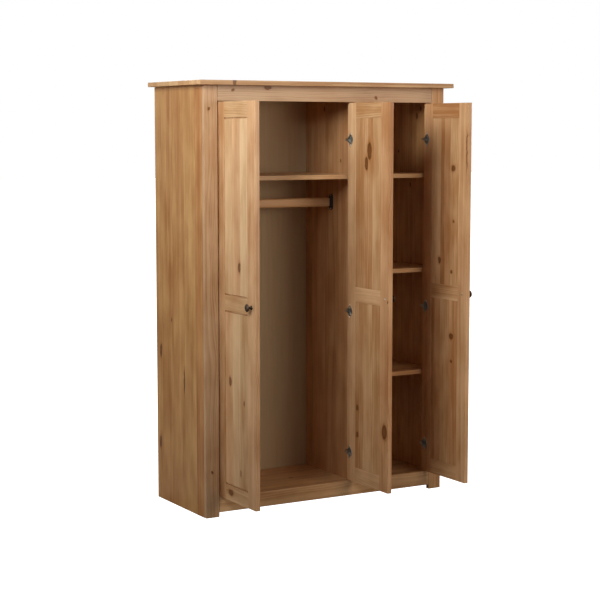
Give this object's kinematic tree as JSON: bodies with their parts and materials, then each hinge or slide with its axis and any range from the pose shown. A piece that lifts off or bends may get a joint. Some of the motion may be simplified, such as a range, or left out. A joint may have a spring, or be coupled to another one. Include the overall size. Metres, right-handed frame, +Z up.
{
  "type": "wardrobe with doors",
  "caption": "Pine wardrobe with inset frame-and-panel doors on concealed hinges, a hanging space with hat shelf and clothes rail, and a column of shelves.",
  "frame": {"origin": "on the floor, under the centre of the bounding box with the doors open at a right angle", "axes": "+Z up, +Y towards the back, +X to the right as seen from the front"},
  "size_m": [1.18, 0.737, 1.715],
  "materials": {
    "pine": "satin clear lacquer on honey-coloured knotty pine",
    "thin_back": "matt foil-faced thin board",
    "nickel": "nickel-plated pressed steel",
    "dark_metal": "antique dark metal, satin",
    "dark_plastic": "dark brown moulded plastic"
  },
  "bodies": {
    "carcass": {"top_board": "pine", "side_panel_left": "pine", "side_panel_right": "pine", "divider_panel": "pine", "bottom_panel": "pine", "back_panel": "thin_back", "stile_left": "pine", "stile_right": "pine", "stile_centre": "pine", "top_rail": "pine", "bottom_rail": "pine", "hat_shelf": "pine", "shelf_upper": "pine", "shelf_middle": "pine", "shelf_lower": "pine", "rail_bracket_left": "dark_plastic", "rail_bracket_right": "dark_plastic", "clothes_rail": "pine", "hinge_left_low_arm": "nickel", "hinge_left_middle_arm": "nickel", "hinge_left_high_arm": "nickel", "hinge_middle_low_arm": "nickel", "hinge_middle_middle_arm": "nickel", "hinge_middle_high_arm": "nickel", "hinge_right_low_arm": "nickel", "hinge_right_middle_arm": "nickel", "hinge_right_high_arm": "nickel"},
    "door_left": {"door_left_stile_hinge": "pine", "door_left_stile_free": "pine", "door_left_rail_bottom": "pine", "door_left_rail_middle": "pine", "door_left_rail_top": "pine", "door_left_panel_lower": "pine", "door_left_panel_upper": "pine", "door_left_knob": "dark_metal", "hinge_left_low_cup": "nickel", "hinge_left_middle_cup": "nickel", "hinge_left_high_cup": "nickel"},
    "door_middle": {"door_middle_stile_hinge": "pine", "door_middle_stile_free": "pine", "door_middle_rail_bottom": "pine", "door_middle_rail_middle": "pine", "door_middle_rail_top": "pine", "door_middle_panel_lower": "pine", "door_middle_panel_upper": "pine", "door_middle_knob": "dark_metal", "hinge_middle_low_cup": "nickel", "hinge_middle_middle_cup": "nickel", "hinge_middle_high_cup": "nickel"},
    "door_right": {"door_right_stile_hinge": "pine", "door_right_stile_free": "pine", "door_right_rail_bottom": "pine", "door_right_rail_middle": "pine", "door_right_rail_top": "pine", "door_right_panel_lower": "pine", "door_right_panel_upper": "pine", "door_right_knob": "dark_metal", "hinge_right_low_cup": "nickel", "hinge_right_middle_cup": "nickel", "hinge_right_high_cup": "nickel"}
  },
  "joints": [
    {"name": "door_left_hinge", "type": "hinge", "parent": "carcass", "child": "door_left", "pos_m": [-0.48725, -0.06925, 0.859], "axis": [0, 0, 1], "range_deg": [-15, 90]},
    {"name": "door_middle_hinge", "type": "hinge", "parent": "carcass", "child": "door_middle", "pos_m": [0.11325, -0.06925, 0.859], "axis": [0, 0, -1], "range_deg": [-15, 90]},
    {"name": "door_right_hinge", "type": "hinge", "parent": "carcass", "child": "door_right", "pos_m": [0.48725, -0.06925, 0.859], "axis": [0, 0, -1], "range_deg": [-15, 90]}
  ]
}
